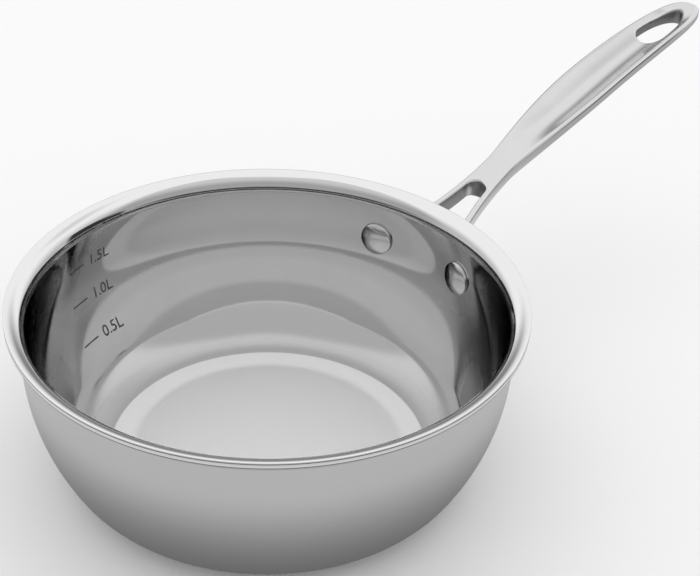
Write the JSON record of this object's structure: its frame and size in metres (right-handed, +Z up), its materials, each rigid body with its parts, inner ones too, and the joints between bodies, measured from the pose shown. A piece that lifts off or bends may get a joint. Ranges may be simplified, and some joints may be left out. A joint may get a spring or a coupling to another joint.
{
  "type": "deep saute pan",
  "caption": "Deep round-sided clad saute pan with a flared pouring lip and a long forked cast handle, riveted to the wall, with a hanging eye at its tip.",
  "frame": {"origin": "on the bowl's axis at the flat underside of the base", "axes": "+Z up along the bowl's axis, +X from the bowl's axis along the handle, +Y to the right of someone who holds the handle"},
  "size_m": [0.4162, 0.21, 0.118],
  "materials": {
    "satin_steel": "satin, brushed round the bowl",
    "core_aluminium": "bare, cut edge only",
    "polished_steel": "mirror-polished wall and lip, satin floor",
    "cast_steel": "polished casting",
    "rivet_steel": "polished dome"
  },
  "bodies": {
    "root": {"outer_skin": "satin_steel", "aluminium_core": "core_aluminium", "inner_skin": "polished_steel", "handle": "cast_steel", "left_rivet": "rivet_steel", "right_rivet": "rivet_steel"}
  },
  "joints": []
}
